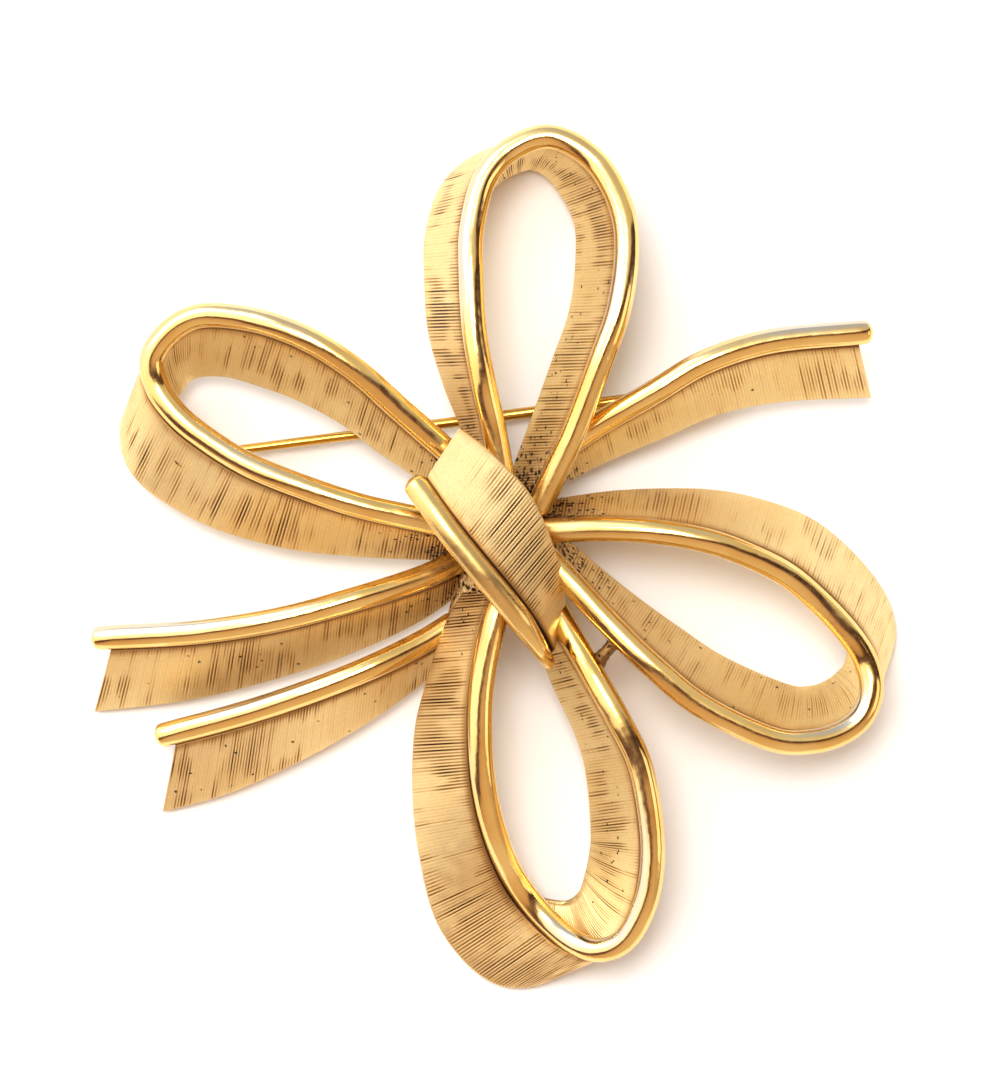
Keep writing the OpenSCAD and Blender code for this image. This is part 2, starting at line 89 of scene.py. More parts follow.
# columns: along x, up y, lean x, lean y, fill x, fill y, lift of the back rim, share of the full width
ROWS = {
    "top_loop": [
        [   0.4,    7.4,   -2.5,    0.0,    0.0,    0.0,   0.70,   0.62],
        [  -0.8,   14.1,   -3.4,   -0.2,    0.0,    0.0,   0.70,   0.72],
        [  -2.1,   19.8,   -4.5,    0.1,    0.0,    0.0,   0.70,   0.86],
        [  -3.2,   26.2,   -5.3,    0.3,    0.0,    0.0,   0.60,   0.96],
        [  -3.6,   33.1,   -5.4,    0.3,    0.0,    0.0,   0.45,   1.00],
        [  -3.5,   39.0,   -5.4,   -0.2,    1.5,    0.0,   0.25,   1.00],
        [  -1.9,   45.2,   -5.2,   -0.7,    4.4,   -1.2,   0.10,   0.98],
        [   1.5,   49.0,   -4.8,   -0.9,    4.0,   -1.9,   0.00,   0.96],
        [   6.5,   50.5,   -4.6,   -1.0,    2.1,   -2.1,   0.00,   0.94],
        [  11.8,   47.5,   -4.8,   -1.2,    0.0,   -0.5,   0.05,   0.96],
        [  15.0,   41.9,   -5.2,   -0.9,    0.0,    0.0,   0.20,   1.00],
        [  15.8,   36.2,   -5.6,    0.0,    0.0,    0.0,   0.40,   1.00],
        [  14.8,   28.8,   -5.4,    0.3,    0.0,    0.0,   0.60,   0.98],
        [  12.5,   22.2,   -5.4,    0.2,    0.0,    0.0,   0.70,   0.92],
        [   9.1,   13.1,   -5.4,    0.0,    0.0,    0.0,   0.70,   0.82],
        [   4.8,    4.2,   -4.6,   -0.4,    0.0,    0.0,   0.70,   0.66],
    ],
    "left_loop": [
        [  -6.0,   10.6,   -1.1,   -4.3,    0.0,    0.0,   0.70,   0.68],
        [ -12.6,   16.4,   -2.0,   -5.2,    0.0,    0.0,   0.70,   0.82],
        [ -17.5,   20.8,   -2.1,   -5.8,    0.0,    0.0,   0.70,   0.92],
        [ -22.5,   24.2,   -2.4,   -6.3,    0.0,    0.0,   0.68,   0.98],
        [ -27.5,   26.5,   -2.7,   -6.6,    0.0,    0.0,   0.60,   1.00],
        [ -32.5,   27.8,   -2.9,   -6.7,    0.6,    0.0,   0.45,   1.00],
        [ -37.5,   28.0,   -3.0,   -7.0,    1.8,   -0.2,   0.35,   1.00],
        [ -41.2,   26.2,   -3.2,   -7.3,    3.9,    0.0,   0.30,   1.00],
        [ -43.6,   22.9,   -3.7,   -7.8,    5.2,    0.8,   0.30,   1.00],
        [ -43.1,   19.5,   -4.4,   -8.1,    4.8,    2.0,   0.35,   1.00],
        [ -41.2,   16.5,   -4.8,   -8.3,    3.4,    2.2,   0.45,   1.00],
        [ -37.9,   13.5,   -4.7,   -8.2,    1.5,    1.8,   0.50,   1.00],
        [ -31.8,    9.6,   -4.1,   -7.8,    0.0,    0.0,   0.55,   1.00],
        [ -24.5,    6.6,   -2.4,   -7.2,    0.0,    0.0,   0.60,   0.98],
        [ -17.2,    4.2,   -1.5,   -5.7,    0.0,    0.0,   0.65,   0.88],
        [  -8.6,    2.3,   -0.9,   -4.2,    0.0,    0.0,   0.70,   0.72],
        [  -3.6,    1.2,   -0.4,   -3.0,    0.0,    0.0,   0.68,   0.60],
    ],
    "right_loop": [
        [   5.4,    1.1,    0.6,    3.3,    0.0,    0.0,   0.70,   0.60],
        [  12.5,    1.4,    0.9,    4.1,    0.0,    0.0,   0.70,   0.76],
        [  18.8,    1.1,    1.3,    4.8,    0.0,    0.0,   0.65,   0.90],
        [  25.0,    0.1,    1.8,    5.7,    0.0,    0.0,   0.60,   0.98],
        [  30.0,   -1.5,    2.4,    6.3,    0.0,    0.0,   0.50,   1.00],
        [  35.6,   -4.2,    2.9,    6.9,    0.0,    0.0,   0.35,   1.00],
        [  39.8,   -7.6,    3.2,    7.1,   -1.0,   -1.5,   0.20,   1.00],
        [  43.5,  -11.5,    3.3,    6.9,   -3.2,   -3.8,   0.10,   1.00],
        [  45.8,  -15.0,    3.2,    6.7,   -4.8,   -4.0,   0.00,   1.00],
        [  46.6,  -18.5,    3.0,    6.5,   -5.6,   -3.2,   0.00,   1.00],
        [  45.6,  -21.8,    2.9,    6.3,   -5.5,   -1.2,   0.00,   1.00],
        [  43.1,  -24.0,    3.0,    6.1,   -4.5,    0.0,   0.05,   1.00],
        [  39.0,  -25.2,    3.0,    5.7,   -2.5,    0.7,   0.20,   0.98],
        [  33.8,  -24.8,    2.9,    5.6,   -0.5,    0.5,   0.35,   0.98],
        [  25.0,  -20.6,    3.2,    5.3,    0.0,    0.0,   0.50,   0.96],
        [  18.8,  -15.5,    3.1,    4.3,    0.0,    0.0,   0.60,   0.90],
        [  14.0,  -10.8,    2.6,    3.4,    0.0,    0.0,   0.65,   0.78],
        [   9.4,   -5.8,    1.6,    2.9,    0.0,    0.0,   0.70,   0.66],
        [   6.0,   -2.2,    1.2,    2.6,    0.0,    0.0,   0.70,   0.56],
    ],
    "bottom_loop": [
        [   1.0,   -6.5,   -5.2,   -0.4,    0.0,    0.0,   1.20,   0.66],
        [  -0.7,  -10.2,   -5.8,   -0.7,    0.0,    0.0,   1.15,   0.74],
        [  -2.1,  -16.9,   -6.6,   -0.7,    0.0,    0.0,   0.95,   0.85],
        [  -2.5,  -23.1,   -7.8,   -0.6,    0.0,    0.0,   0.75,   0.95],
        [  -2.1,  -30.0,   -8.6,   -1.4,    0.0,    0.0,   0.55,   1.00],
        [  -0.8,  -36.2,   -9.4,   -2.6,    1.0,    0.5,   0.35,   1.00],
        [   1.5,  -42.1,   -9.9,   -5.3,    5.6,    3.2,   0.18,   1.00],
        [   4.8,  -46.8,   -9.3,   -6.6,    7.8,    8.2,   0.06,   1.00],
        [   8.8,  -50.4,   -8.7,   -6.2,    6.2,   10.8,   0.00,   1.00],
        [  12.5,  -51.6,   -8.0,   -4.8,    3.8,   10.6,   0.00,   1.00],
        [  15.8,  -50.0,   -7.6,   -2.8,    1.6,    8.2,   0.05,   1.00],
        [  18.0,  -46.0,   -7.1,   -1.7,   -0.1,    5.2,   0.15,   1.00],
        [  19.0,  -41.2,   -7.0,   -1.2,   -0.4,    2.7,   0.25,   1.00],
        [  18.9,  -35.6,   -6.9,   -1.2,    0.0,    0.0,   0.35,   1.00],
        [  17.5,  -28.1,   -6.1,   -1.3,    0.0,    0.0,   0.45,   0.98],
        [  15.0,  -22.8,   -5.0,   -1.5,    0.0,    0.0,   0.50,   0.93],
        [  12.0,  -17.5,   -4.5,   -1.4,    0.0,    0.0,   0.55,   0.84],
        [   9.3,  -12.8,   -3.9,   -1.1,    0.0,    0.0,   0.50,   0.70],
        [   6.7,   -8.2,   -3.3,   -0.9,    0.0,    0.0,   0.40,   0.55],
    ],
    "upper_tail": [
        [  -4.4,   -2.2,   -0.4,   -3.6,      0,      0,   0.25,   0.50],
        [ -10.0,   -4.8,   -0.7,   -5.2,      0,      0,   0.35,   0.66],
        [ -18.8,   -7.6,   -1.0,   -6.6,      0,      0,   0.40,   0.86],
        [ -27.5,   -9.9,   -1.3,   -7.3,      0,      0,   0.30,   0.95],
        [ -37.5,  -11.5,   -2.0,   -8.4,      0,      0,   0.15,   1.00],
        [ -48.5,  -12.2,   -3.0,   -9.3,      0,      0,   0.00,   1.00],
    ],
    "lower_tail": [
        [  -6.2,  -10.7,   -0.5,   -4.2,      0,      0,   0.25,   0.50],
        [ -10.0,  -13.0,   -0.7,   -5.2,      0,      0,   0.30,   0.60],
        [ -16.2,  -16.0,   -0.9,   -6.8,      0,      0,   0.35,   0.78],
        [ -23.8,  -19.0,   -1.4,   -8.5,      0,      0,   0.28,   0.93],
        [ -32.5,  -21.9,   -1.8,   -9.9,      0,      0,   0.14,   1.00],
        [ -40.6,  -24.1,   -2.3,  -10.2,      0,      0,   0.00,   1.00],
    ],
    "right_tail": [
        [   7.5,   11.2,    0.9,   -3.2,      0,      0,   0.45,   0.58],
        [  12.5,   14.6,    1.2,   -4.0,      0,      0,   0.55,   0.70],
        [  18.8,   18.2,    1.6,   -4.8,      0,      0,   0.68,   0.84],
        [  25.6,   22.2,    2.0,   -5.8,      0,      0,   0.70,   0.92],
        [  33.8,   24.8,    2.2,   -6.8,      0,      0,   0.60,   0.96],
        [  44.5,   25.9,    2.4,   -7.4,      0,      0,   0.50,   0.98],
    ],
    "knot": [
        [ -10.0,    6.2,    4.9,    7.6,      0,      0,   2.10,   0.82],
        [  -7.9,    3.2,    5.7,    8.4,      0,      0,   2.22,   0.91],
        [  -5.9,    0.5,    6.5,    8.5,      0,      0,   2.30,   0.95],
        [  -3.8,   -2.1,    6.9,    8.4,      0,      0,   2.31,   0.96],
        [  -1.6,   -4.8,    6.6,    7.7,      0,      0,   2.24,   0.91],
        [   0.7,   -7.6,    5.7,    6.8,      0,      0,   2.05,   0.83],
        [   2.7,  -10.2,    4.7,    6.0,      0,      0,   1.80,   0.76],
        [   4.4,  -12.7,    3.2,    4.9,      0,      0,   1.46,   0.66],
        [   5.8,  -14.9,    1.0,    3.8,      0,      0,   1.05,   0.57],
    ],
}
# the same columns, by name
PLACE = slice(0, 2)
LEAN = slice(2, 4)
FILL = slice(4, 6)
LIFT = 6
WIDTH_SHARE = 7
print("rows:", {name: len(rows) for name, rows in ROWS.items()})

# which way a ribbon turns, seen from the front: 1 is anticlockwise
TURN = {"top_loop": -1, "left_loop": 1, "right_loop": -1, "bottom_loop": 1,
        "upper_tail": 1, "lower_tail": 1, "right_tail": -1, "knot": 1}

# %% [markdown]
# ## A smooth curve through the rows
# A curve that passes through its own points suits a traced line, so we use the usual four-point blend. It
# works on all columns at once: the lean, the fill and the lift then change as smoothly as the place does.

# %% Read a ribbon anywhere along its rows
LEAST_DROP = 1.0
WAY_STEP = 0.05
FINE_STEPS = 1200


def row_at(rows, places):
    """The blended rows at places counted in rows."""
    rows = np.asarray(rows, float)
    last = len(rows) - 1
    first = np.clip(np.floor(places).astype(int), 0, last - 1)
    part = (places - first)[:, None]
    before = rows[np.clip(first - 1, 0, last)]
    here = rows[first]
    ahead = rows[first + 1]
    beyond = rows[np.clip(first + 2, 0, last)]
    bend = 2 * before - 5 * here + 4 * ahead - beyond
    twist = 3 * here - before - 3 * ahead + beyond
    return 0.5 * (2 * here + (ahead - before) * part + bend * part ** 2 + twist * part ** 3)


def unit_of(arrows):
    """Each row of arrows at length 1."""
    return arrows / np.linalg.norm(arrows, axis=1)[:, None]


def rims_at(rows, places):
    """The bead's centre, the back rim's centre and the tip's fill at places."""
    row = row_at(rows, places)
    lean = UNIT * row[:, LEAN]
    width = RIBBON_WIDTH * row[:, WIDTH_SHARE]
    drop = np.sqrt(np.maximum(LEAST_DROP, width ** 2 - (lean ** 2).sum(1)))
    back_height = row[:, LIFT] * RIM_RISE + BAND_THICK / 2
    bead = np.column_stack([UNIT * row[:, PLACE], back_height + drop]) - BOX_MIDDLE
    back = bead + np.column_stack([lean, -drop])
    fill = np.column_stack([UNIT * row[:, FILL], np.zeros(len(row))])
    return bead, back, fill


class Ribbon:
    """Where a ribbon is and which way it faces, at many places along it."""

    def __init__(self, name, places):
        rows = ROWS[name]
        last = len(rows) - 1
        self.bead, self.back, self.fill = rims_at(rows, places)
        ahead = rims_at(rows, np.minimum(last, places + WAY_STEP))[0]
        behind = rims_at(rows, np.maximum(0, places - WAY_STEP))[0]
        self.way = unit_of(ahead - behind)
        self.down = unit_of(self.back - self.bead)
        self.inward = TURN[name] * unit_of(np.cross(self.way, self.down))
        along = (self.down * self.way).sum(1)[:, None]
        self.under = unit_of(self.down - along * self.way)


def even_places(name, spacing, share=0.5):
    """Evenly spaced places, measured a share of the way from bead to back rim, and the length in mm."""
    rows = ROWS[name]
    places = np.linspace(0, len(rows) - 1, FINE_STEPS)
    bead, back, _ = rims_at(rows, places)
    line = bead + (back - bead) * share
    run = np.concatenate([[0], np.cumsum(np.linalg.norm(np.diff(line, axis=0), axis=1))])
    count = int(round(run[-1] / spacing))
    return np.interp(np.linspace(0, run[-1], count + 1), run, places), run[-1]


def knot_distance(points):
    """How far points are from the knot, seen from the front."""
    return np.linalg.norm(points[..., :2] + BOX_MIDDLE[:2], axis=-1)


for name in ROWS:
    print(name, "is", round(even_places(name, 1.0)[1], 1), "mm long")

# %% [markdown]
# ## Rings into skins
# Every ribbon and bead is a row of rings. Joining each ring to the next gives a clean skin of four-sided
# faces with a cap at each end, and one helper serves them all. It checks the sign of the volume, so no skin
# is inside out, and it can carry values per point for the materials to read.

# %% The skin helper
# every ribbon has noise of its own, from seeds this far apart
SEED_STEP = 20


def smooth_noise(shape, cells, seed):
    """Even noise from 0 to 1 on a grid of this shape, with about this many cells each way."""
    rng = np.random.default_rng(seed)
    coarse = rng.random((cells[0] + 2, cells[1] + 2))
    spots = [np.linspace(0, cells[axis], shape[axis]) for axis in (0, 1)]
    low = [np.floor(spot).astype(int) for spot in spots]
    parts = [spot - cell for spot, cell in zip(spots, low)]
    eased = [part * part * (3 - 2 * part) for part in parts]
    along = eased[0][:, None]
    across = eased[1][None, :]
    near = coarse[np.ix_(low[0], low[1])] * (1 - along) + coarse[np.ix_(low[0] + 1, low[1])] * along
    far = coarse[np.ix_(low[0], low[1] + 1)] * (1 - along) + coarse[np.ix_(low[0] + 1, low[1] + 1)] * along
    return near * (1 - across) + far * across


def dressed(name, mesh, material):
    """A smooth piece over the mesh, which rides on the brooch in place of the plain bow."""
    mesh.polygons.foreach_set("use_smooth", np.ones(len(mesh.polygons), bool))
    mesh.materials.append(material)
    piece = bpy.data.objects.new(name, mesh)
    bpy.context.scene.collection.objects.link(piece)
    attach(piece, "brooch")
    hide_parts("bow")
    return piece


def give_values(mesh, values):
    """Stores a value per point under each name."""
    for key, grid in values.items():
        layer = mesh.attributes.new(key, "FLOAT", "POINT")
        layer.data.foreach_set("value", np.asarray(grid, np.float32).reshape(-1))
    mesh.update()


def skin(name, rings, values, material):
    """A closed mesh over rings of equal length, with its values per point."""
    stations, around, _ = rings.shape
    index = np.arange(stations * around).reshape(stations, around)
    turned = np.roll(index, -1, axis=1)
    quads = np.stack([index[:-1], turned[:-1], turned[1:], index[1:]], axis=-1).reshape(-1, 4)
    points = rings.reshape(-1, 3)
    corners = points[quads]
    volume = (np.cross(corners[:, 0], corners[:, 1]) * corners[:, 2]).sum()
    volume += (np.cross(corners[:, 0], corners[:, 2]) * corners[:, 3]).sum()
    caps = [index[0][::-1], index[-1]]
    if volume < 0:
        quads = quads[:, ::-1]
        caps = [cap[::-1] for cap in caps]
    mesh = bpy.data.meshes.new(name)
    mesh.from_pydata((points * MM).tolist(), [], quads.tolist() + [cap.tolist() for cap in caps])
    give_values(mesh, values)
    dressed(name, mesh, material)
    print(name, len(mesh.polygons) * 2, "triangles")


# %% [markdown]
# ## Gold plate, cut and polished
# The bands are cut across with a fine graver, which leaves them pale and satin; the beads are polished and
# show the room. Both are the same plating, so both are full metal and differ in roughness. The plating's
# tone wanders at random, and casting pits are dark. Shade is painted in as well: black in the step under
# each bead and in the cut lines, darkest where they are deepest, and brown in the seam beside each bead.
# Some faces, the back rim and the metal near the knot are darker. The beads are painted silver on the side
# that faces the window, partly as rubbed plating and partly as the window's reflection. The meshes carry
# where that is, as values per point for shade and tone, for wear and window sheen, and for pits, and the
# materials only read them.

# %% Helpers for materials


class Nodes:
    """Adds nodes to a material or a world and links them, in the order that they are read."""

    def __init__(self, owner):
        owner.use_nodes = True
        self.owner = owner
        self.tree = owner.node_tree

    def fill(self, node, inputs):
        """Links or sets inputs of a node."""
        for key, value in inputs.items():
            if isinstance(value, bpy.types.NodeSocket):
                self.tree.links.new(value, node.inputs[key])
            else:
                node.inputs[key].default_value = value

    def add(self, kind, inputs, **settings):
        node = self.tree.nodes.new(kind)
        for key, value in settings.items():
            setattr(node, key, value)
        self.fill(node, inputs)
        return node.outputs

    def place(self):
        return self.add("ShaderNodeTexCoord", {})["Object"]

    def value(self, name):
        return self.add("ShaderNodeAttribute", {}, attribute_name=name)["Fac"]

    def noise(self, scale, detail=2.0, rough=0.5, at=None):
        inputs = {"Vector": at or self.place(), "Scale": scale, "Detail": detail, "Roughness": rough}
        return self.add("ShaderNodeTexNoise", inputs)["Fac"]

    def remap(self, value, low, high, out_low=0.0, out_high=1.0):
        inputs = {"Value": value, "From Min": low, "From Max": high, "To Min": out_low, "To Max": out_high}
        return self.add("ShaderNodeMapRange", inputs)["Result"]

    def mix(self, amount, first, second):
        return self.add("ShaderNodeMix", {"Factor": amount, 6: first, 7: second}, data_type="RGBA")[2]

    def math(self, operation, *values):
        return self.add("ShaderNodeMath", dict(enumerate(values)), operation=operation)[0]

    def bump(self, height, strength, distance, normal=None):
        inputs = {"Height": height, "Strength": strength, "Distance": distance}
        if normal is not None:
            inputs["Normal"] = normal
        return self.add("ShaderNodeBump", inputs)["Normal"]

    def finish(self, inputs):
        """Sets the surface's own inputs and gives back the material."""
        self.fill(self.tree.nodes["Principled BSDF"], inputs)
        return self.owner


def colour(red, green, blue):
    """An sRGB colour, 0 to 255, as the linear colour that a shader takes."""
    linear = [(part / 255 / 12.92) if part / 255 <= 0.04045 else ((part / 255 + 0.055) / 1.055) ** 2.4
              for part in (red, green, blue)]
    return (*linear, 1.0)


# noise keeps near its middle, so these are the parts of its range that are stretched
CLOUD_RANGE = (0.35, 0.65)
NOISE_RANGE = (0.3, 0.7)

# %% The cut bands' satin gold
SATIN_PALE = colour(254, 237, 180)
SATIN_DEEP = colour(250, 227, 164)
SATIN_SAND = colour(212, 168, 108)
# brown and black for painted shade in the step, the seams and the cut lines, and for darker parts of the
# plating
SHADE_AND_TONE_BROWN = colour(204, 154, 92)
SHADE_AND_TONE_BLACK = colour(50, 26, 12)
PIT_BLACK = colour(44, 22, 10)
# how many waves or cells of each pattern there are to the metre
SATIN_CLOUDS = 140
SATIN_GRAINS = 5200
SATIN_SHEENS = 900
PIT_CELLS = 2400
PIT_RAGS = 6500
ROOT_LUMPS = 3000
# a pit's size, as a share of its cell
PIT_CORE = 0.2
PIT_EDGE = 0.34
PIT_RAG = 0.14
PIT_GROWTH = 0.26
PIT_DARK = 0.95
SATIN_ROUGHNESS = (0.44, 0.56)
GRAIN_RELIEF = 0.04 * MM
PIT_RELIEF = 0.09 * MM
LUMP_RELIEF = 0.3 * MM


def satin_gold():
    nodes = Nodes(bpy.data.materials.new("satin_cut_gold"))
    clouds = nodes.remap(nodes.noise(SATIN_CLOUDS, 3.0), *CLOUD_RANGE)
    plated = nodes.mix(clouds, SATIN_PALE, SATIN_DEEP)
    grain = nodes.noise(SATIN_GRAINS, 2.0, 0.6)
    sandy = nodes.mix(nodes.remap(grain, 0.3, 0.75, 0.0, 0.3), plated, SATIN_SAND)
    shade_and_tone = nodes.value("shade_and_tone")
    # painted shade and darker tone: brown first, then black where the value is high
    browned = nodes.mix(nodes.remap(shade_and_tone, 0.0, 0.5), sandy, SHADE_AND_TONE_BROWN)
    blackened = nodes.mix(nodes.remap(shade_and_tone, 0.3, 0.9), browned, SHADE_AND_TONE_BLACK)
    pitted = nodes.value("pitted")
    inputs = {"Vector": nodes.place(), "Scale": PIT_CELLS, "Randomness": 1.0}
    cells = nodes.add("ShaderNodeTexVoronoi", inputs)
    rags = nodes.remap(nodes.noise(PIT_RAGS, 1.0), *NOISE_RANGE, -PIT_RAG, PIT_RAG)
    ragged = nodes.math("ADD", cells["Distance"], rags)
    reach = nodes.math("SUBTRACT", ragged, nodes.math("MULTIPLY", pitted, PIT_GROWTH))
    near = nodes.remap(reach, PIT_CORE, PIT_EDGE, 1.0, 0.0)
    chosen = nodes.add("ShaderNodeSeparateColor", {"Color": cells["Color"]})["Red"]
    pits = nodes.math("MULTIPLY", near, nodes.math("LESS_THAN", chosen, pitted))
    base = nodes.mix(nodes.math("MULTIPLY", pits, PIT_DARK), blackened, PIT_BLACK)
    rough = nodes.remap(nodes.noise(SATIN_SHEENS, 3.0), *NOISE_RANGE, *SATIN_ROUGHNESS)
    lump = nodes.math("MULTIPLY", nodes.noise(ROOT_LUMPS, 3.0, 0.6), pitted)
    lumpy = nodes.bump(lump, 0.9, LUMP_RELIEF)
    fine = nodes.bump(grain, 0.25, GRAIN_RELIEF, lumpy)
    relief = nodes.bump(nodes.math("SUBTRACT", 1.0, pits), 0.6, PIT_RELIEF, fine)
    return nodes.finish({"Metallic": 1.0, "Base Color": base, "Roughness": rough, "Normal": relief})


SATIN = satin_gold()

# %% The beads' polished gold
BEAD_PALE = colour(245, 209, 134)
BEAD_DEEP = colour(237, 194, 114)
# silver for rubbed plating and for a painted reflection of the cool window
SILVER_WEAR_AND_SHEEN = colour(202, 198, 190)
# brown for painted shade on the bead's flank beside the band, and towards the knot
SEAM_SHADE_BROWN = colour(120, 70, 22)
SEAM_SHADING = 0.8
SEAM_DULLING = 0.5
BEAD_CLOUDS = 220
BEAD_SCRATCHES = 1500
BEAD_WAVES = 420
BEAD_ROUGHNESS = (0.1, 0.2)
WAVE_RELIEF = 0.2 * MM


def polished_gold():
    nodes = Nodes(bpy.data.materials.new("polished_gold"))
    clouds = nodes.remap(nodes.noise(BEAD_CLOUDS, 2.0), *CLOUD_RANGE)
    plated = nodes.mix(clouds, BEAD_PALE, BEAD_DEEP)
    # silver: a painted reflection of the window, and rubbed plating
    worn_and_window_sheen = nodes.mix(nodes.value("worn_and_window_sheen"), plated, SILVER_WEAR_AND_SHEEN)
    shade_and_tone = nodes.value("shade_and_tone")
    # painted shade on the flank beside the band, browner towards the knot
    base = nodes.mix(nodes.math("MULTIPLY", shade_and_tone, SEAM_SHADING), worn_and_window_sheen, SEAM_SHADE_BROWN)
    scratched = nodes.remap(nodes.noise(BEAD_SCRATCHES, 4.0, 0.65), *NOISE_RANGE, *BEAD_ROUGHNESS)
    rough = nodes.math("ADD", scratched, nodes.math("MULTIPLY", shade_and_tone, SEAM_DULLING))
    waves = nodes.bump(nodes.noise(BEAD_WAVES, 2.0), 0.22, WAVE_RELIEF)
    return nodes.finish({"Metallic": 1.0, "Base Color": base, "Roughness": rough, "Normal": waves})


POLISHED = polished_gold()
print("materials:", [material.name for material in (SATIN, POLISHED)])

# %% [markdown]
# ## The band
# On the casting the band is a wall with a fine step under the bead, then a flat face down to a rounded back
# rim. The graver's lines run straight across it, about four to the millimetre. Painted lines would catch no
# light, so the lines are cut in the mesh: four rings to a line, the last two of them sunk. Their depth
# wanders from line to line and fades in soft patches, as a hand tool's does, and shade is painted into them,
# darkest in the deepest.

# %% Band sections with cut lines
PITCH = 0.26
CUT_PROFILE = np.array([0.0, 0.05, 1.0, 0.95])
NECK = 0.38
NECK_TOP = 0.5
STEP_TOP = 1.0
STEP_FOOT = 1.12
STEP_INSET = 0.04
FACE_TOP = 1.22
CORNER = 0.22 * BAND_THICK
FILL_RAISE = 0.3
FILL_FULL = 8
FILL_BULGE = -0.08
NECK_STEPS = 3
FACE_STEPS = 11
CORNER_STEPS = 3
INNER_FACE = slice(NECK_STEPS, NECK_STEPS + FACE_STEPS)
OUTER_START = NECK_STEPS + FACE_STEPS + 2 * CORNER_STEPS
OUTER_FACE = slice(OUTER_START, OUTER_START + FACE_STEPS)

# columns: depth of the cuts in mm, how much shade is painted in them, pits at the root, pits elsewhere, how
# much darker the faces are
FINISH = {
    "top_loop": (0.060, 0.95, 1.00, 0.16, 0.12),
    "left_loop": (0.070, 0.85, 0.70, 0.10, 0.08),
    "right_loop": (0.045, 0.55, 1.10, 0.12, 0.06),
    "bottom_loop": (0.065, 0.85, 0.35, 0.09, 0.18),
    "upper_tail": (0.070, 0.80, 0.40, 0.03, 0.04),
    "lower_tail": (0.075, 0.90, 0.50, 0.03, 0.12),
    "right_tail": (0.060, 0.70, 1.30, 0.02, 0.00),
    "knot": (0.090, 1.00, 0.00, 0.00, 0.10),
}

# how the lines come and go: lines to a patch or a streak, and what is left of a line outside them
FAINTEST_LINE = 0.3
PATCH_LINES = 14
STREAK_LINES = 2
PATCH_WEIGHT = 0.55
PATCH_LEVEL = 0.38
PATCH_STEEPNESS = 3.8
LINE_LEFT = 0.16
KNOT_PATCH_WEIGHT = 0.7
KNOT_PATCH_LEVEL = 0.34
KNOT_PATCH_STEEPNESS = 5.5
KNOT_LINE_LEFT = 0.18
# the knot's lines start and stop this far along it, over this much of it, and little is left beyond
KNOT_CUT_FROM = 0.12
KNOT_CUT_IN = 0.2
KNOT_START_LEFT = 0.1
KNOT_CUT_TO = 0.84
KNOT_CUT_OUT = 0.12
KNOT_END_LEFT = 0.05
# down a face, the lines fade at both ends as a sine does between these parts of its half turn
FADE_SPAN = (0.06, 0.86)
FADE_POWER = 0.6
# near the knot, all lines are strong: from this distance inwards, over this many mm
STRONG_FROM = 7.0
STRONG_OVER = 6.0
# painted shade in the step under the bead and just below it, darker along the back rim and near the knot, and
# dim patches at random
NECK_SHADE = [1, 1, 0.6]
RIM_DARKENING = 0.3
SEAM_FALL = 18
SEAM_INNER = 0.35
SEAM_OUTER = 0.3
ROOT_DARKENING = 0.25
DIM_STAIN = 0.12
DIM_RINGS = 200
PIT_RINGS = 90
ROOT_FROM = 4.0
ROOT_OVER = 6.5
ROOT_PIT_FALL = 1.2
BAND_SEED = 100


def mixed(patches, streaks, weight, level, steepness, least):
    """Two noises blended, sharpened into patches and kept from least to 1."""
    return np.clip((weight * patches + (1 - weight) * streaks - level) * steepness, least, 1.0)


def cut_share(name, stations, seed, near_knot):
    """How deep each point of a face is cut, from 0 to 1: line by line, fading in patches."""
    rng = np.random.default_rng(seed)
    lines = stations // len(CUT_PROFILE) + 1
    strength = np.repeat(rng.uniform(FAINTEST_LINE, 1.0, lines), len(CUT_PROFILE))[:stations]
    profile = np.tile(CUT_PROFILE, lines)[:stations]
    grid = (stations, FACE_STEPS)
    patches = smooth_noise(grid, (max(4, lines // PATCH_LINES), 3), seed + 1)
    streaks = smooth_noise(grid, (max(4, lines // STREAK_LINES), 2), seed + 2)
    if name == "knot":
        run = np.linspace(0, 1, stations)[:, None]
        started = np.clip((run - KNOT_CUT_FROM) / KNOT_CUT_IN, KNOT_START_LEFT, 1)
        ended = np.clip((KNOT_CUT_TO - run) / KNOT_CUT_OUT, KNOT_END_LEFT, 1)
        shown = started * ended * mixed(patches, streaks, KNOT_PATCH_WEIGHT, KNOT_PATCH_LEVEL,
                                        KNOT_PATCH_STEEPNESS, KNOT_LINE_LEFT)
    else:
        shown = mixed(patches, streaks, PATCH_WEIGHT, PATCH_LEVEL, PATCH_STEEPNESS, LINE_LEFT)
        shown = np.maximum(shown, near_knot[:, None] * (0.5 + 0.5 * streaks))
    return (strength * profile)[:, None] * shown


def face_line(top, foot, bow_out):
    """Points down a face from top to foot, pushed sideways most at its middle."""
    share = np.linspace(0, 1, FACE_STEPS)[None, :, None]
    return top[:, None] + (foot - top)[:, None] * share + bow_out[:, None] * 4 * share * (1 - share)


def rounded(ribbon, centre, side):
    """A quarter round of the back rim, from its side to its lowest line."""
    turns = np.linspace(0, math.pi / 2, CORNER_STEPS + 2)[1:-1]
    return np.stack([centre + CORNER * (side * ribbon.inward * math.cos(turn) + ribbon.down * math.sin(turn))
                     for turn in turns], axis=1)


def neck(ribbon, side, half):
    """The step under the bead on one side."""
    out = ribbon.inward * side
    return np.stack([ribbon.bead + ribbon.down * NECK_TOP + out * NECK,
                     ribbon.bead + ribbon.down * STEP_TOP + out * NECK,
                     ribbon.bead + ribbon.down * STEP_FOOT + out * (half - STEP_INSET)], axis=1)


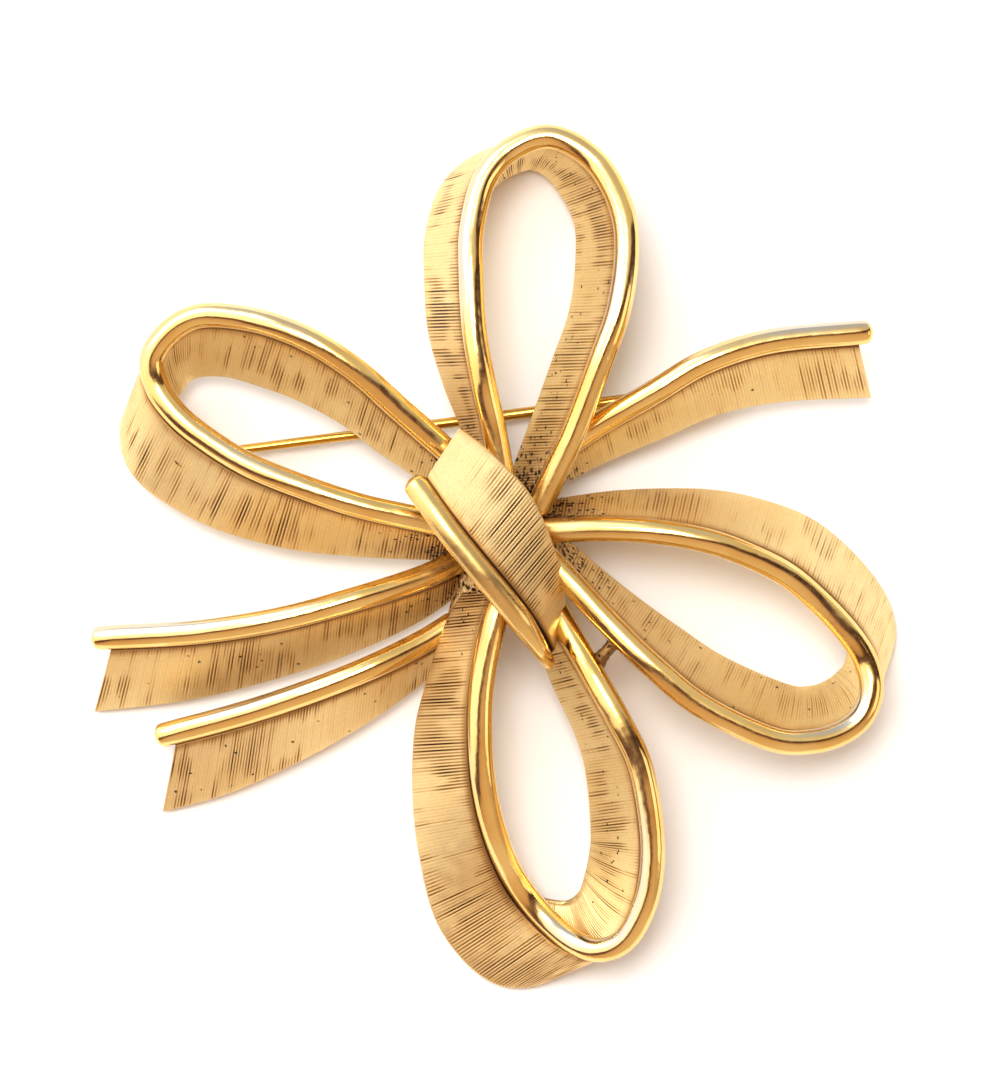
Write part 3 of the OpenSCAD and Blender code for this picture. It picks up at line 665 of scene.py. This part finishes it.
def band(name, seed):
    cut_depth, cut_shade, root_pits, pits, face_darkening = FINISH[name]
    ribbon = Ribbon(name, even_places(name, PITCH / len(CUT_PROFILE))[0])
    stations = len(ribbon.bead)
    half = BAND_THICK / 2
    filled = np.minimum(1, np.linalg.norm(ribbon.fill, axis=1) / (UNIT * FILL_FULL))[:, None]
    raised = np.array([[0, 0, 1.0]]) * FILL_RAISE * filled * (ribbon.bead[:, 2:3] - ribbon.back[:, 2:3])
    foot = ribbon.back + ribbon.inward * half * (1 - filled) + ribbon.fill + raised
    top = ribbon.bead + ribbon.down * FACE_TOP
    outer_foot = ribbon.back - ribbon.down * CORNER - ribbon.inward * half
    inner = face_line(top + ribbon.inward * half, foot - ribbon.down * CORNER, FILL_BULGE * ribbon.fill)
    outer = face_line(top - ribbon.inward * half, outer_foot, 0 * ribbon.fill)

    fade = np.sin(np.linspace(*FADE_SPAN, FACE_STEPS) * math.pi)[None, :] ** FADE_POWER
    near_knot = np.clip(1 - (knot_distance(ribbon.bead) - STRONG_FROM) / STRONG_OVER, 0, 1)
    cut_in = cut_share(name, stations, seed, near_knot) * fade
    cut_out = cut_share(name, stations, seed + 10, near_knot) * fade
    inner = inner - ribbon.inward[:, None] * cut_depth * cut_in[:, :, None]
    outer = outer + ribbon.inward[:, None] * cut_depth * cut_out[:, :, None]
    inner_round = rounded(ribbon, foot - ribbon.inward * CORNER - ribbon.down * CORNER, 1)
    outer_round = rounded(ribbon, ribbon.back - ribbon.inward * (half - CORNER) - ribbon.down * CORNER, -1)
    rings = np.concatenate([neck(ribbon, 1, half), inner, inner_round, outer_round[:, ::-1],
                            outer[:, ::-1], neck(ribbon, -1, half)[:, ::-1]], axis=1)
    grid = rings.shape[:2]

    # painted shade in the step and in the seam just under the bead; darker on the back rim and on some faces
    seam = np.exp(-np.linspace(0, 1, FACE_STEPS) * SEAM_FALL)
    shade_and_tone = np.concatenate([NECK_SHADE, seam * SEAM_INNER, [RIM_DARKENING] * CORNER_STEPS * 2,
                             (seam * SEAM_OUTER + face_darkening)[::-1], NECK_SHADE[::-1]])
    if "loop" not in name:
        shade_and_tone[INNER_FACE] += face_darkening
    # painted shade in the cut lines, as deep as each cut
    groove_shade = np.zeros(grid)
    groove_shade[:, INNER_FACE] = cut_shade * cut_in
    groove_shade[:, OUTER_FACE] = cut_shade * cut_out[:, ::-1]
    # darker towards the knot, and dim patches at random
    root = np.clip(1 - (knot_distance(rings) - ROOT_FROM) / ROOT_OVER, 0, 1)
    rooted = (0.0 if name == "knot" else ROOT_DARKENING) * root ** 2
    dim = DIM_STAIN * np.clip(smooth_noise(grid, (max(4, stations // DIM_RINGS), 3), seed + 4) - 0.5, 0, 1)
    inside = np.zeros(grid[1])
    inside[INNER_FACE] = 1
    scatter = smooth_noise(grid, (max(4, stations // PIT_RINGS), 4), seed + 3)
    values = {"shade_and_tone": np.clip(shade_and_tone[None, :] + groove_shade + rooted + dim, 0, 1),
              "pitted": pits * inside[None, :] * scatter + root_pits * root ** ROOT_PIT_FALL}
    skin(name + "_band", rings, values, SATIN)


# %% Cut all eight bands
for number, name in enumerate(ROWS):
    band(name, BAND_SEED + SEED_STEP * number)

# %% [markdown]
# ## The beads
# A bead is a round rod laid along the rim. We sweep a circle square to the path, since a circle set along the
# leaning band would look pinched where a loop turns. Hand polishing leaves it very slightly uneven, and its
# ends are rubbed round. On the knot it thins towards the lower end, where it runs out on the bottom loop.

# %% Sweep the beads
BEAD_STEP = 0.22
AROUND = 28
CAP_RINGS = 7
CAP_REACH = 0.75
CAP_TIP = 0.04
# how far a bead runs on past its band at the first and the last row
END_RUN = {"upper_tail": (0.0, 1.9), "lower_tail": (0.0, 1.9), "right_tail": (0.0, 1.0), "knot": (0.6, 0.6)}
THIN_ROW = 6.0
THIN_BEAD = 0.58
UNEVEN = 0.02
UNEVEN_LENGTH = 2.5
# where round the bead the painted shade beside the band starts, as a cosine
SEAM_START = 0.72
SEAM_SPAN = 0.16
ROOT_DULL = 0.3
DULL_FROM = 4.0
DULL_OVER = 7.0
# the side that faces the window, painted silver as its reflection and as rubbed plating, how sharply it ends,
# and how far from the knot it starts
WINDOW_SIDE = np.array([-0.62, 0.62, 0.48])
WINDOW_FACING_FROM = 0.5
WINDOW_FACING_STEEPNESS = 3.5
SHEEN_AND_WEAR_LENGTH = 5
SHEEN_AND_WEAR_FROM = 14
SHEEN_AND_WEAR_OVER = 8
BEAD_SEED = 500


def bead(name, seed):
    places, length = even_places(name, BEAD_STEP, share=0.0)
    ribbon = Ribbon(name, places)
    radius = np.full(len(places), BEAD_RADIUS)
    if name == "knot":
        radius = BEAD_RADIUS * np.interp(places, [THIN_ROW, len(ROWS[name]) - 1], [1.0, THIN_BEAD])
    runs = END_RUN.get(name, (0.0, 0.0))
    swell = np.linspace(0, math.pi / 2, CAP_RINGS + 1)[1:]
    centres = []
    sizes = []
    for end, run, sign in ((0, runs[0] * UNIT, -1), (-1, runs[1] * UNIT, 1)):
        reach = run + radius[end] * CAP_REACH * np.sin(swell)
        centres.append(ribbon.bead[end] + sign * ribbon.way[end] * reach[:, None])
        sizes.append(radius[end] * np.maximum(CAP_TIP, np.cos(swell)))
    centre = np.concatenate([centres[0][::-1], ribbon.bead, centres[1]])
    radius = np.concatenate([sizes[0][::-1], radius, sizes[1]])
    ends = ((CAP_RINGS, CAP_RINGS), (0, 0))
    under = np.pad(ribbon.under, ends, mode="edge")
    inward = np.pad(ribbon.inward, ends, mode="edge")
    grid = (len(radius), AROUND)
    angle = np.linspace(0, 2 * math.pi, AROUND, endpoint=False)
    uneven = 1 + UNEVEN * (smooth_noise(grid, (max(4, int(length / UNEVEN_LENGTH)), 5), seed) - 0.5)
    spread = np.cos(angle)[None, :, None] * under[:, None] + np.sin(angle)[None, :, None] * inward[:, None]
    rings = centre[:, None] + spread * (radius[:, None] * uneven)[:, :, None]

    # painted shade on the bead's side towards the band; duller and browner near the knot
    seam = np.clip((np.cos(angle) - SEAM_START) / SEAM_SPAN, 0, 1)[None, :] * np.ones((len(radius), 1))
    far = knot_distance(rings)
    dull = ROOT_DULL * np.clip(1 - (far - DULL_FROM) / DULL_OVER, 0, 1)
    # silver on the side facing the window, a painted reflection of it and rubbed plating, in patches away
    # from the knot
    facing = np.clip(((spread * WINDOW_SIDE).sum(2) - WINDOW_FACING_FROM) * WINDOW_FACING_STEEPNESS, 0, 1)
    patches = smooth_noise(grid, (max(4, int(length / SHEEN_AND_WEAR_LENGTH)), 3), seed + 1)
    worn_and_window_sheen = facing * patches * np.clip((far - SHEEN_AND_WEAR_FROM) / SHEEN_AND_WEAR_OVER, 0, 1)
    skin(name + "_bead", rings, {"shade_and_tone": np.maximum(seam, dull), "worn_and_window_sheen": worn_and_window_sheen}, POLISHED)


for number, name in enumerate(ROWS):
    bead(name, BEAD_SEED + SEED_STEP * number)

# %% [markdown]
# ## The metal under the knot
# Where the ribbons meet, the casting is one rough lump, and fillets run from it into every root. Balls joined
# by straight rods would do as a first shape; a voxel remesh then fuses them, and a little smoothing and noise
# makes them look cast.

# %% Fuse the roots
CORE_AT = np.array([0.3 * UNIT, 0.2 * UNIT, 0.6 * RIBBON_WIDTH]) - BOX_MIDDLE
POST_AT = np.array([1.2 * UNIT, 0.4 * UNIT, 1.01 * RIBBON_WIDTH]) - BOX_MIDDLE
CORE_RADIUS = 2.6
POST_RADIUS = 1.7
# columns: ribbon, place along it in rows, radius in mm
ROOTS = [("top_loop", 0.3, 0.8), ("top_loop", 14.8, 1.0), ("left_loop", 0.1, 0.7), ("left_loop", 15.4, 0.5),
         ("right_loop", 0.1, 0.8), ("right_loop", 17.9, 0.7), ("bottom_loop", 0.2, 0.5),
         ("bottom_loop", 17.9, 0.7), ("upper_tail", 0.2, 0.7), ("lower_tail", 0.1, 0.7),
         ("right_tail", 0.1, 0.7)]
ROOT_SHARE = 0.55
VOXEL = 0.16 * MM
SOFTNESS = 0.6
SOFT_ROUNDS = 8
BUMP_WAVES = 6
BUMP_SPREAD = 2600
BUMP_HEIGHT = 0.012
ROOT_SHADE_AND_TONE = 0.3
ROOT_PITTED = 0.75
ROOT_SEED = 77


def ball_points(centre, radius, count=64):
    """Even points over a ball, by the golden angle."""
    number = np.arange(count)
    height = 1 - 2 * (number + 0.5) / count
    turn = number * math.pi * (3 - math.sqrt(5))
    ring = np.sqrt(1 - height * height)
    return centre + radius * np.column_stack([ring * np.cos(turn), ring * np.sin(turn), height])


def wrapped(mesh, points):
    """Adds the tightest convex skin round the points to a mesh in the making."""
    made = [mesh.verts.new(point * MM) for point in points]
    result = bmesh.ops.convex_hull(mesh, input=made)
    bmesh.ops.delete(mesh, geom=list(set(result["geom_interior"] + result["geom_unused"])), context="VERTS")


def settled(piece):
    """The piece's mesh with its modifiers made real."""
    graph = bpy.context.evaluated_depsgraph_get()
    mesh = bpy.data.meshes.new_from_object(piece.evaluated_get(graph))
    piece.modifiers.clear()
    piece.data = mesh
    return mesh


def placed(name, mesh_in_making, material):
    """Turns a finished bmesh into a piece of the brooch."""
    bmesh.ops.recalc_face_normals(mesh_in_making, faces=mesh_in_making.faces)
    mesh = bpy.data.meshes.new(name)
    mesh_in_making.to_mesh(mesh)
    mesh_in_making.free()
    return dressed(name, mesh, material)


def vectors_of(mesh, key):
    """One vector per point of a mesh: its place or its normal."""
    numbers = np.zeros(len(mesh.vertices) * 3)
    mesh.vertices.foreach_get(key, numbers)
    return numbers.reshape(-1, 3)


def root_metal():
    lump = bmesh.new()
    core = ball_points(CORE_AT, CORE_RADIUS)
    for name, place, size in ROOTS:
        ribbon = Ribbon(name, np.array([place]))
        root = ribbon.bead[0] + ROOT_SHARE * (ribbon.back[0] - ribbon.bead[0])
        wrapped(lump, np.vstack([ball_points(root, size), core]))
    wrapped(lump, np.vstack([core, ball_points(POST_AT, POST_RADIUS)]))
    piece = placed("root_metal", lump, SATIN)
    piece.modifiers.new("fuse", "REMESH").voxel_size = VOXEL
    soft = piece.modifiers.new("soften", "SMOOTH")
    soft.factor = SOFTNESS
    soft.iterations = SOFT_ROUNDS
    mesh = settled(piece)
    points = vectors_of(mesh, "co")
    rng = np.random.default_rng(ROOT_SEED)
    bumps = sum(np.sin(points @ rng.normal(0, BUMP_SPREAD, (3, 1)) + rng.uniform(0, 6))[:, 0]
                for _ in range(BUMP_WAVES))
    moved = points + vectors_of(mesh, "normal") * bumps[:, None] * BUMP_HEIGHT * MM
    mesh.vertices.foreach_set("co", moved.reshape(-1))
    everywhere = np.ones(len(mesh.vertices))
    mesh.polygons.foreach_set("use_smooth", np.ones(len(mesh.polygons), bool))
    give_values(mesh, {"shade_and_tone": ROOT_SHADE_AND_TONE * everywhere, "pitted": ROOT_PITTED * everywhere})
    print("root metal:", len(mesh.polygons) * 2, "triangles")


root_metal()

# %% [markdown]
# ## The little bridge
# A short bar was cast between the bottom loop and the right loop to stiffen them. It is waisted, with flared
# ends that were never filed, so it is a swept tube whose radius follows a cosine.

# %% Sweep the bridge
BRIDGE_HEIGHT = 7.6
BRIDGE_ENDS = [np.array([across * UNIT, up * UNIT, BRIDGE_HEIGHT]) - BOX_MIDDLE
               for across, up in ((11.7, -15.8), (15.3, -11.7))]
BRIDGE_WAIST = 0.5
BRIDGE_FLARE = 0.34
BRIDGE_ROUGHNESS = 0.05
BRIDGE_RIPPLES = 40
BRIDGE_STEPS = 15
BRIDGE_SHADE_AND_TONE = 0.7
BRIDGE_PITTED = 0.35
ASKEW = np.array([0.13, 0.2, 1.0])


def tube(points, radii, around=16):
    """Rings square to a line of points, one radius to a point."""
    way = unit_of(np.gradient(points, axis=0))
    side = unit_of(np.cross(way, ASKEW))
    rise = np.cross(way, side)
    angle = np.linspace(0, 2 * math.pi, around, endpoint=False)
    spread = np.cos(angle)[None, :, None] * side[:, None] + np.sin(angle)[None, :, None] * rise[:, None]
    return points[:, None] + spread * radii[:, None, None]


share = np.linspace(0, 1, BRIDGE_STEPS)
bar = BRIDGE_ENDS[0] + share[:, None] * (BRIDGE_ENDS[1] - BRIDGE_ENDS[0])
thickness = BRIDGE_WAIST + BRIDGE_FLARE * np.abs(np.cos(share * math.pi)) ** 3
bar_rings = tube(bar, thickness * (1 + BRIDGE_ROUGHNESS * np.sin(share * BRIDGE_RIPPLES)))
whole_bar = np.ones(bar_rings.shape[:2])
skin("bridge", bar_rings, {"shade_and_tone": BRIDGE_SHADE_AND_TONE * whole_bar, "pitted": BRIDGE_PITTED * whole_bar},
     SATIN)

# %% [markdown]
# ## The pin's fittings
# Behind, a bracket of two ears holds the pin's eye on a rivet, and a C of wire catches the point. Both are
# soldered to the ribbons' backs. The pin and its rivet come from the frame, since they move and must fit;
# they only need their finish. The ears are cut as outlines and given real rounded edges with a bevel.

# %% Find the pin's line
UP = np.array([0.0, 0.0, 1.0])
PIN_LOW, PIN_HIGH = [np.array(corner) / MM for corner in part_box("pin_stem")]
HINGE = frame["joints"][0]
HINGE_AT = np.array(HINGE["pos_m"]) / MM
RIVET_WAY = np.array(HINGE["axis"]) / np.linalg.norm(HINGE["axis"])
SQUARE_WAY = np.cross(RIVET_WAY, UP)
PIN_WAY = SQUARE_WAY * np.sign(SQUARE_WAY @ ((PIN_LOW + PIN_HIGH) / 2 - HINGE_AT))
ACROSS_PIN = np.cross(UP, PIN_WAY)
TURNED = Matrix((PIN_WAY, ACROSS_PIN, UP)).transposed().to_4x4()
print("pin runs along", PIN_WAY.round(3), "from", HINGE_AT.round(2))

# %% The bracket
EAR_GAP = 1.3
EAR_THICK = 0.7
EAR_RADIUS = 1.4
EAR_NECK = 0.8
EAR_STEPS = 25
BORE_RADIUS = 0.42
BORE_STEPS = 32
WEB_LONG = 1.8
WEB_LOW = 1.45
WEB_HIGH = 2.25
HINGE_ROW = 2.75
HINGE_SHARE = 0.43
EDGE_WIDTH = 0.09 * MM
EDGE_STEPS = 3


def ear(made, middle, top):
    """Adds one ear: a flat outline with a bore, pulled to its thickness."""
    outline = [(EAR_RADIUS * math.cos(turn), EAR_RADIUS * math.sin(turn))
               for turn in np.linspace(math.pi, 2 * math.pi, EAR_STEPS)]
    outline = [*outline, (EAR_NECK, top), (-EAR_NECK, top)]
    bore = [(BORE_RADIUS * math.cos(turn), BORE_RADIUS * math.sin(turn))
            for turn in np.linspace(0, 2 * math.pi, BORE_STEPS, endpoint=False)]
    edges = []
    for shape in (outline, bore):
        corners = [made.verts.new((along, middle - EAR_THICK / 2, height)) for along, height in shape]
        edges += [made.edges.new((corners[i], corners[(i + 1) % len(corners)])) for i in range(len(corners))]
    flat = bmesh.ops.triangle_fill(made, edges=edges, use_beauty=True)
    faces = [part for part in flat["geom"] if isinstance(part, bmesh.types.BMFace)]
    grown = bmesh.ops.extrude_face_region(made, geom=faces, use_keep_orig=True)
    moved = [part for part in grown["geom"] if isinstance(part, bmesh.types.BMVert)]
    bmesh.ops.translate(made, verts=moved, vec=(0, EAR_THICK, 0))


def pin_bracket():
    made = bmesh.new()
    ribbon = Ribbon("right_tail", np.array([HINGE_ROW]))
    slope = ribbon.back[0] - ribbon.bead[0]
    leaning = np.linalg.norm(slope[:2])
    for side in (-1, 1):
        middle = side * (EAR_GAP + EAR_THICK) / 2
        share = HINGE_SHARE + side * abs(middle) / leaning
        ear(made, middle, (ribbon.bead[0] + share * slope)[2] - HINGE_AT[2])
    web = bmesh.ops.create_cube(made, size=1.0)["verts"]
    bmesh.ops.scale(made, verts=web, vec=(WEB_LONG, EAR_GAP + EAR_THICK, WEB_HIGH - WEB_LOW))
    bmesh.ops.translate(made, verts=web, vec=(0, 0, (WEB_LOW + WEB_HIGH) / 2))
    bmesh.ops.transform(made, matrix=Matrix.Translation(HINGE_AT) @ TURNED, verts=made.verts)
    bmesh.ops.scale(made, vec=(MM, MM, MM), verts=made.verts)
    piece = placed("pin_bracket", made, POLISHED)
    edge = piece.modifiers.new("worn edge", "BEVEL")
    edge.width = EDGE_WIDTH
    edge.segments = EDGE_STEPS
    edge.limit_method = "ANGLE"
    edge.harden_normals = True
    print("bracket:", len(settled(piece).polygons), "faces")


pin_bracket()

# %% The catch
CATCH_ROW = 11
CATCH_SHARE = 0.35
CATCH_RADIUS = 1.1
CATCH_WIRE = 0.4
CATCH_RINGS = 61
CATCH_AROUND = 20
CATCH_TAPER = 4
CATCH_MOUTH = math.radians(120)
POST_THICK = 0.65
POST_STEPS = 20
POST_AROUND = 24
# the post flares into the ribbon above, and a little into the catch below
HEAD_FLARE = 0.55
HEAD_FROM = 0.7
HEAD_OVER = 0.09
FOOT_FLARE = 0.2
FOOT_TO = 0.2


def smooth_skin(name, rings):
    """A polished piece with no painted shade, window sheen, wear or browning."""
    plain = np.zeros(rings.shape[:2])
    skin(name, rings, {"shade_and_tone": plain, "worn_and_window_sheen": plain}, POLISHED)


def pin_catch():
    ribbon = Ribbon("left_loop", np.array([CATCH_ROW]))
    spot = ribbon.bead[0] + CATCH_SHARE * (ribbon.back[0] - ribbon.bead[0])
    centre = np.array([spot[0], spot[1], HINGE_AT[2]])
    angle = np.linspace(-math.pi / 2 + CATCH_MOUTH / 2, 1.5 * math.pi - CATCH_MOUTH / 2, CATCH_RINGS)
    line = centre + CATCH_RADIUS * (np.cos(angle)[:, None] * ACROSS_PIN + np.sin(angle)[:, None] * UP)
    steps = np.arange(CATCH_RINGS)
    from_end = np.minimum(steps, steps[::-1])
    radii = CATCH_WIRE * np.sqrt(np.clip(1 - (1 - from_end / CATCH_TAPER).clip(0) ** 2, CAP_TIP, 1))
    spread = np.linspace(0, 2 * math.pi, CATCH_AROUND, endpoint=False)
    outward = unit_of(line - centre)
    rings = line[:, None] + radii[:, None, None] * (np.cos(spread)[None, :, None] * outward[:, None]
                                                   + np.sin(spread)[None, :, None] * PIN_WAY[None, None])
    smooth_skin("pin_catch", rings)
    rise = np.linspace(0, 1, POST_STEPS)
    low = centre + np.array([0, 0, CATCH_RADIUS])
    high = np.array([centre[0], centre[1], spot[2]])
    head = HEAD_FLARE * np.clip(rise - HEAD_FROM, 0, 1) ** 2 / HEAD_OVER
    foot = FOOT_FLARE * np.clip(FOOT_TO - rise, 0, 1) / FOOT_TO
    post = low + rise[:, None] * (high - low)
    smooth_skin("catch_post", tube(post, POST_THICK * (1 + head + foot), POST_AROUND))


pin_catch()

# %% The drawn wire's finish
WIRE_PALE = colour(226, 180, 88)
WIRE_DEEP = colour(202, 152, 66)
WIRE_STRETCH = (60.0, 3200.0, 3200.0)
WIRE_ROUGHNESS = (0.14, 0.26)
WIRE_RELIEF = 0.02 * MM


def drawn_wire():
    nodes = Nodes(bpy.data.materials.new("drawn_gold_wire"))
    turn = (0.0, 0.0, -math.atan2(PIN_WAY[1], PIN_WAY[0]))
    inputs = {"Vector": nodes.place(), "Scale": WIRE_STRETCH, "Rotation": turn}
    drawn = nodes.noise(1.0, 3.0, 0.6, at=nodes.add("ShaderNodeMapping", inputs)["Vector"])
    base = nodes.mix(nodes.remap(drawn, *CLOUD_RANGE), WIRE_PALE, WIRE_DEEP)
    rough = nodes.remap(drawn, *NOISE_RANGE, *WIRE_ROUGHNESS)
    relief = nodes.bump(drawn, 0.2, WIRE_RELIEF)
    return nodes.finish({"Metallic": 1.0, "Base Color": base, "Roughness": rough, "Normal": relief})


WIRE = drawn_wire()
for name in ("pin_stem", "hinge_rivet"):
    node = frame["nodes"][name]
    if not node.material_slots:
        node.data.materials.append(WIRE)
    for slot in node.material_slots:
        slot.material = WIRE
    print(name, "takes", WIRE.name)

# %% [markdown]
# ## The table, the light and the camera
# The brooch was photographed lying on white, close up and from straight above, by window light from the upper
# left in a warm room. Polished gold shows whatever is round it, so the room matters more than the lamps: a
# cool window, a lamp almost overhead, warm walls, and the dim side where the camera is held. A big white card
# for a floor is enough.

# %% The table
REACH = 1.2
CARD_WHITE = colour(246, 246, 245)
floor_mesh = bpy.data.meshes.new("table")
corners = [(-REACH, -REACH, 0), (REACH, -REACH, 0), (REACH, REACH, 0), (-REACH, REACH, 0)]
floor_mesh.from_pydata(corners, [], [(0, 1, 2, 3)])
table = bpy.data.objects.new("table", floor_mesh)
bpy.context.scene.collection.objects.link(table)
table.location.z = CAD_BOX[0].z
card = Nodes(bpy.data.materials.new("white_card"))
floor_mesh.materials.append(card.finish({"Metallic": 0.0, "Base Color": CARD_WHITE, "Roughness": 0.9}))

# %% The room
# from the near side of the room to the far side: place on the ramp, and the tone there
ROOM_TONES = ((0.22, (0.46, 0.34, 0.26)), (0.33, (0.40, 0.26, 0.18)), (0.37, (0.07, 0.035, 0.045)),
              (0.475, (0.09, 0.045, 0.055)), (0.50, (0.90, 0.84, 0.76)), (0.58, (1.0, 0.97, 0.92)),
              (0.80, (0.86, 0.90, 0.96)))
NEAREST_TONE = (0.52, 0.42, 0.34)
FARTHEST_TONE = (0.86, 0.95, 1.10)
ROOM_SLANT = -0.5
ROOM_SPAN = 1.1
ROOM_WOBBLE = 0.35
WOBBLE_WAVES = 1.6
# the upper right of the room is dimmer
DIM_SPAN = 0.9
DIM_LEVEL = 0.45
ROOM_STRENGTH = 1.75


def room():
    nodes = Nodes(bpy.data.worlds.new("room"))
    bpy.context.scene.world = nodes.owner
    way = nodes.add("ShaderNodeTexCoord", {})["Generated"]
    split = nodes.add("ShaderNodeSeparateXYZ", {0: way})
    wobble = nodes.noise(WOBBLE_WAVES, 1.0, at=way)
    bent = nodes.math("MULTIPLY_ADD", wobble, ROOM_WOBBLE, -ROOM_WOBBLE / 2)
    wandering = nodes.math("ADD", split["Y"], bent)
    side = nodes.math("MULTIPLY_ADD", split["X"], ROOM_SLANT, wandering)
    ramp = nodes.tree.nodes.new("ShaderNodeValToRGB")
    nodes.fill(ramp, {"Fac": nodes.remap(side, -ROOM_SPAN, ROOM_SPAN)})
    steps = ramp.color_ramp.elements
    for end, position, tone in ((0, 0.0, NEAREST_TONE), (1, 1.0, FARTHEST_TONE)):
        steps[end].position = position
        steps[end].color = (*tone, 1)
    for position, tone in ROOM_TONES:
        steps.new(position).color = (*tone, 1)
    upper_right = nodes.math("ADD", split["X"], split["Y"])
    dimmed = nodes.remap(upper_right, 0.0, DIM_SPAN, 1.0, DIM_LEVEL)
    inputs = {0: ramp.outputs["Color"], "Scale": dimmed}
    shaded = nodes.add("ShaderNodeVectorMath", inputs, operation="SCALE")["Vector"]
    nodes.fill(nodes.tree.nodes["Background"], {"Color": shaded, "Strength": ROOM_STRENGTH})


room()


def softbox(name, place, size, power, tint):
    """A soft rectangular light, turned to the brooch."""
    light = bpy.data.lights.new(name, "AREA")
    light.shape = "RECTANGLE"
    light.size, light.size_y = size
    light.energy = power
    light.color = tint
    lamp = bpy.data.objects.new(name, light)
    lamp.location = place
    lamp.rotation_euler = (-Vector(place)).to_track_quat("-Z", "Y").to_euler()
    bpy.context.scene.collection.objects.link(lamp)


# columns: name, place in m, size in m, power in W, tint
softbox("window", (-0.42, 0.40, 0.42), (0.60, 0.45), 2.2, (0.90, 0.96, 1.0))
softbox("lamp", (-0.06, 0.15, 0.62), (0.30, 0.22), 2.6, (1.0, 0.98, 0.95))
softbox("wall", (0.55, -0.05, 0.28), (0.30, 0.30), 0.4, (1.0, 0.93, 0.82))

# %% The camera
MM_PER_PIXEL = 0.08
PHOTO_SIZE = (1000, 1083)
KNOT_PIXEL = (500, 540)
DISTANCE = 400.0
BEAD_HEIGHT = 7.8
SENSOR = 36.0
camera_data = bpy.data.cameras.new("camera")
camera_data.sensor_fit = "AUTO"
camera_data.sensor_width = SENSOR
camera_data.lens = SENSOR * DISTANCE / (PHOTO_SIZE[1] * MM_PER_PIXEL)
camera_data.clip_start = 0.01
camera = bpy.data.objects.new("camera", camera_data)
middle_x = (PHOTO_SIZE[0] / 2 - KNOT_PIXEL[0]) * MM_PER_PIXEL - BOX_MIDDLE[0]
middle_y = (KNOT_PIXEL[1] - PHOTO_SIZE[1] / 2) * MM_PER_PIXEL - BOX_MIDDLE[1]
camera.location = (middle_x * MM, middle_y * MM, (DISTANCE + BEAD_HEIGHT) * MM)
bpy.context.scene.collection.objects.link(camera)
bpy.context.scene.camera = camera
bpy.context.scene.view_settings.view_transform = "Standard"
print("lens", round(camera_data.lens, 1), "mm at", [round(part / MM, 1) for part in camera.location])

# %% Update the view layer, and hand over to the frame
bpy.context.view_layer.update()
